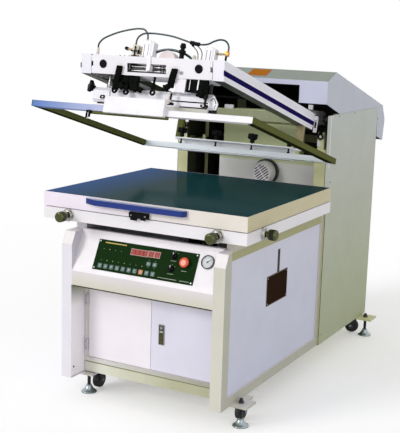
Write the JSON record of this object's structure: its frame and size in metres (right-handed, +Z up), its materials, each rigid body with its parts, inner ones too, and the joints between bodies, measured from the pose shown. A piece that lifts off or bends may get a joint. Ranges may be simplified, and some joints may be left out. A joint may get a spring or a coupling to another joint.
{
  "type": "screen printing machine",
  "caption": "Flat-bed screen printing machine with a cabinet, a sliding table, and a tilting head that carries the screen frame and squeegee carriage.",
  "frame": {"origin": "on the floor, below the centre of the whole machine's plan outline", "axes": "+Z up, +Y from the operator's side to the rear, +X to the operator's right"},
  "size_m": [1.088, 1.9818, 1.6657],
  "materials": {
    "white_paint": "gloss",
    "panel_paint": "satin",
    "tower_paint": "satin",
    "hood_paint": "satin",
    "housing_paint": "satin",
    "arm_paint": "gloss",
    "edge_paint": "gloss",
    "table_glass": "polished",
    "plate_print": "satin",
    "console_plate": "satin",
    "display": "polished",
    "key_caps": "satin",
    "black_plastic": "satin",
    "stop_red": "satin",
    "gauge_metal": "polished",
    "needle_black": "satin",
    "steel": "brushed",
    "foot_chrome": "polished",
    "castor_steel": "satin",
    "wheel_rubber": "matte",
    "knob_metal": "polished",
    "bar_blue": "gloss",
    "motor_grey": "satin",
    "frame_alloy": "satin",
    "alloy": "satin",
    "lock_metal": "satin",
    "blade_rubber": "matte",
    "hose_tube": "satin",
    "valve_metal": "satin"
  },
  "bodies": {
    "base": {"cabinet_frame": "white_paint", "front_cover": "white_paint", "left_side_panel": "panel_paint", "right_side_panel": "panel_paint", "blank_plates": "plate_print", "door_hinges": "steel", "control_plate": "console_plate", "display_windows": "display", "keypad": "key_caps", "gauge_case": "gauge_metal", "levelling_feet": "foot_chrome", "table_bed": "white_paint", "adjuster_bushes": "steel", "tower_frame": "white_paint", "tower_skin": "tower_paint", "hood": "hood_paint", "drive_housing": "housing_paint", "blower_motor": "motor_grey", "hinge_shaft": "steel"},
    "left_door": {"left_door": "white_paint"},
    "right_door": {"right_door": "white_paint", "lock_plate": "lock_metal"},
    "lock_handle": {"lock_handle": "lock_metal"},
    "left_selector": {"left_selector": "black_plastic"},
    "right_selector": {"right_selector": "black_plastic"},
    "emergency_button": {"emergency_button": "stop_red"},
    "gauge_needle": {"gauge_needle": "needle_black"},
    "front_left_fork": {"front_left_fork": "castor_steel"},
    "front_right_fork": {"front_right_fork": "castor_steel"},
    "rear_left_fork": {"rear_left_fork": "castor_steel"},
    "rear_right_fork": {"rear_right_fork": "castor_steel"},
    "front_left_wheel": {"front_left_wheel": "wheel_rubber"},
    "front_right_wheel": {"front_right_wheel": "wheel_rubber"},
    "rear_left_wheel": {"rear_left_wheel": "wheel_rubber"},
    "rear_right_wheel": {"rear_right_wheel": "wheel_rubber"},
    "cross_slide": {"cross_slide": "steel"},
    "table": {"table_slab": "edge_paint", "table_top": "table_glass", "bar_bracket": "black_plastic"},
    "start_bar": {"start_bar": "bar_blue"},
    "left_adjuster": {"left_adjuster": "knob_metal"},
    "right_adjuster": {"right_adjuster": "knob_metal"},
    "side_adjuster": {"side_adjuster": "knob_metal"},
    "blower_fan": {"blower_fan": "castor_steel"},
    "head": {"arms": "arm_paint", "guide_rails": "steel", "screen_frame": "frame_alloy", "front_clamp": "alloy", "rear_holder": "frame_alloy", "clamp_screws": "black_plastic"},
    "carriage": {"carriage_beam": "alloy", "air_cylinders": "alloy", "valve_block": "valve_metal", "hand_screws": "black_plastic", "lift_levers": "black_plastic", "left_hose": "hose_tube", "main_hose": "hose_tube"},
    "squeegee": {"squeegee_holder": "frame_alloy", "squeegee_blade": "blade_rubber"},
    "flood_bar": {"flood_bar": "frame_alloy"}
  },
  "joints": [
    {"name": "head_tilt", "type": "hinge", "parent": "base", "child": "head", "pos_m": [0, 0.38091, 1.23], "axis": [1, 0, 0], "range_deg": [0, 15.7]},
    {"name": "carriage_travel", "type": "slide", "parent": "head", "child": "carriage", "axis": [0, 0.9627, -0.2706], "range_m": [0, 0.68]},
    {"name": "squeegee_lift", "type": "slide", "parent": "carriage", "child": "squeegee", "axis": [0, -0.2706, -0.9627], "range_m": [0, 0.025]},
    {"name": "flood_lift", "type": "slide", "parent": "carriage", "child": "flood_bar", "axis": [0, -0.2706, -0.9627], "range_m": [0, 0.025]},
    {"name": "left_door_hinge", "type": "hinge", "parent": "base", "child": "left_door", "pos_m": [-0.35, -0.80909, 0.3595], "axis": [0, 0, -1], "range_deg": [0, 95]},
    {"name": "right_door_hinge", "type": "hinge", "parent": "base", "child": "right_door", "pos_m": [0.316, -0.80909, 0.3595], "axis": [0, 0, 1], "range_deg": [0, 95]},
    {"name": "lock_handle_lift", "type": "hinge", "parent": "right_door", "child": "lock_handle", "pos_m": [0.037, -0.80609, 0.32], "axis": [1, 0, 0], "range_deg": [0, 45], "stiffness_Nm_per_rad": 0.05, "springref_deg": -11.46},
    {"name": "left_selector_turn", "type": "hinge", "parent": "base", "child": "left_selector", "pos_m": [0.119, -0.87906, 0.67641], "axis": [0, -0.8975, 0.441], "range_deg": [-45, 45]},
    {"name": "right_selector_turn", "type": "hinge", "parent": "base", "child": "right_selector", "pos_m": [0.119, -0.85392, 0.72757], "axis": [0, -0.8975, 0.441], "range_deg": [-45, 45]},
    {"name": "emergency_press", "type": "slide", "parent": "base", "child": "emergency_button", "axis": [0, 0.8975, -0.441], "range_m": [0, 0.005], "stiffness_N_per_m": 1500, "springref_m": -0.002},
    {"name": "gauge_needle_turn", "type": "hinge", "parent": "base", "child": "gauge_needle", "pos_m": [0.278, -0.85434, 0.72444], "axis": [0, 0.8975, -0.441], "range_deg": [0, 270], "stiffness_Nm_per_rad": 0.0005, "springref_deg": -5.73},
    {"name": "front_left_swivel", "type": "hinge", "parent": "base", "child": "front_left_fork", "pos_m": [-0.352, -0.70909, 0.092], "axis": [0, 0, 1], "continuous": true},
    {"name": "front_left_roll", "type": "hinge", "parent": "front_left_fork", "child": "front_left_wheel", "pos_m": [-0.352, -0.70909, 0.043], "axis": [1, 0, 0], "continuous": true},
    {"name": "front_right_swivel", "type": "hinge", "parent": "base", "child": "front_right_fork", "pos_m": [0.383, -0.69709, 0.092], "axis": [0, 0, 1], "continuous": true},
    {"name": "front_right_roll", "type": "hinge", "parent": "front_right_fork", "child": "front_right_wheel", "pos_m": [0.383, -0.69709, 0.043], "axis": [1, 0, 0], "continuous": true},
    {"name": "rear_left_swivel", "type": "hinge", "parent": "base", "child": "rear_left_fork", "pos_m": [-0.369, 0.65391, 0.092], "axis": [0, 0, 1], "continuous": true},
    {"name": "rear_left_roll", "type": "hinge", "parent": "rear_left_fork", "child": "rear_left_wheel", "pos_m": [-0.369, 0.65391, 0.043], "axis": [1, 0, 0], "continuous": true},
    {"name": "rear_right_swivel", "type": "hinge", "parent": "base", "child": "rear_right_fork", "pos_m": [0.353, 0.77591, 0.092], "axis": [0, 0, 1], "continuous": true},
    {"name": "rear_right_roll", "type": "hinge", "parent": "rear_right_fork", "child": "rear_right_wheel", "pos_m": [0.353, 0.77591, 0.043], "axis": [0, 1, 0], "continuous": true},
    {"name": "table_shift_y", "type": "slide", "parent": "base", "child": "cross_slide", "axis": [0, 1, 0], "range_m": [-0.008, 0.008]},
    {"name": "table_shift_x", "type": "slide", "parent": "cross_slide", "child": "table", "axis": [1, 0, 0], "range_m": [-0.008, 0.008]},
    {"name": "start_press", "type": "slide", "parent": "table", "child": "start_bar", "axis": [0, 1, 0], "range_m": [0, 0.004], "stiffness_N_per_m": 1500, "springref_m": -0.002},
    {"name": "left_adjuster_turn", "type": "hinge", "parent": "base", "child": "left_adjuster", "pos_m": [-0.384, -0.93409, 0.854], "axis": [0, 1, 0], "range_deg": [-1440, 1440]},
    {"name": "right_adjuster_turn", "type": "hinge", "parent": "base", "child": "right_adjuster", "pos_m": [0.35, -0.93409, 0.854], "axis": [0, 1, 0], "range_deg": [-1440, 1440]},
    {"name": "side_adjuster_turn", "type": "hinge", "parent": "base", "child": "side_adjuster", "pos_m": [0.503, -0.76009, 0.854], "axis": [1, 0, 0], "range_deg": [-1440, 1440]},
    {"name": "fan_spin", "type": "hinge", "parent": "base", "child": "blower_fan", "pos_m": [0.041, 0.17191, 0.955], "axis": [0, 1, 0], "continuous": true}
  ],
  "couplings": [
    {"joint": "left_adjuster_turn", "follows": "table_shift_y", "rad_per_m": 3141.5},
    {"joint": "right_adjuster_turn", "follows": "table_shift_y", "rad_per_m": 3141.5},
    {"joint": "side_adjuster_turn", "follows": "table_shift_x", "rad_per_m": 3141.5}
  ]
}
